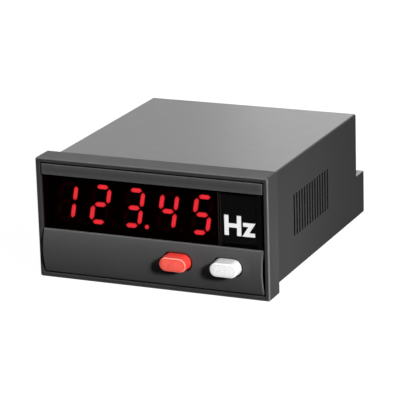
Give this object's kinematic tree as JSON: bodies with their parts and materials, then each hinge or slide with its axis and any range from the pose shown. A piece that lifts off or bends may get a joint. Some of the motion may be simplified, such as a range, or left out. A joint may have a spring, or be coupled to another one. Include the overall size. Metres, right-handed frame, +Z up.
{
  "type": "digital panel meter",
  "caption": "Panel meter with a plastic front frame, dark window over a row of red LED digits, two push-buttons in a bulged cover, and a long vented case with rear terminals.",
  "frame": {"origin": "centre of the panel cut-out, on the front face of the panel, where the front frame's rear face seats", "axes": "+X right as seen from the front, +Y into the panel towards the terminals, +Z up"},
  "size_m": [0.096, 0.118, 0.048],
  "materials": {
    "frame_plastic": "fine matt moulded texture",
    "case_plastic": "smooth satin moulding",
    "window_red": "polished, dark red and clear",
    "cover_grey": "satin grey",
    "mask_black": "matt black",
    "digit_body": "grey-black reflector",
    "segment_lit": "glowing red",
    "segment_dark": "unlit smoked red",
    "button_red": "satin red",
    "button_white": "satin white",
    "switch_plastic": "black nylon",
    "switch_body": "grey nylon",
    "board_green": "green solder mask",
    "screw_steel": "zinc plated",
    "header_black": "moulded black",
    "core_steel": "stacked laminations",
    "coil_copper": "taped copper winding",
    "can_blue": "shrink sleeve",
    "sink_aluminium": "bright extrusion",
    "clamp_brass": "plated brass",
    "terminal_nylon": "black nylon"
  },
  "bodies": {
    "meter": {"front_frame": "frame_plastic", "housing": "case_plastic", "display_filter": "window_red", "upper_trim": "cover_grey", "button_cover": "cover_grey", "display_mask": "mask_black", "unit_card": "mask_black", "digit_1": "digit_body", "digit_2": "digit_body", "digit_3": "digit_body", "digit_4": "digit_body", "digit_5": "digit_body", "lit_segments": "segment_lit", "dark_segments": "segment_dark", "red_switch": "switch_body", "white_switch": "switch_body", "display_board": "board_green", "main_board": "board_green", "input_board": "board_green", "board_screws": "screw_steel", "terminal_screws": "screw_steel", "main_header": "header_black", "input_header": "header_black", "processor_chip": "header_black", "converter_chip": "header_black", "voltage_regulator": "header_black", "transformer_core": "core_steel", "transformer_coil": "coil_copper", "supply_capacitor": "can_blue", "filter_capacitor": "can_blue", "heat_sink": "sink_aluminium", "clock_crystal": "sink_aluminium", "wire_clamps": "clamp_brass", "terminal_pins": "clamp_brass", "signal_terminal": "terminal_nylon", "supply_terminal": "terminal_nylon"},
    "red_key": {"red_button": "button_red", "red_plunger": "switch_plastic"},
    "white_key": {"white_button": "button_white", "white_plunger": "switch_plastic"}
  },
  "joints": [
    {"name": "red_press", "type": "slide", "parent": "meter", "child": "red_key", "axis": [0, 1, 0], "range_m": [0, 0.001], "stiffness_N_per_m": 1200, "springref_m": -0.0005},
    {"name": "white_press", "type": "slide", "parent": "meter", "child": "white_key", "axis": [0, 1, 0], "range_m": [0, 0.001], "stiffness_N_per_m": 1200, "springref_m": -0.0005}
  ]
}
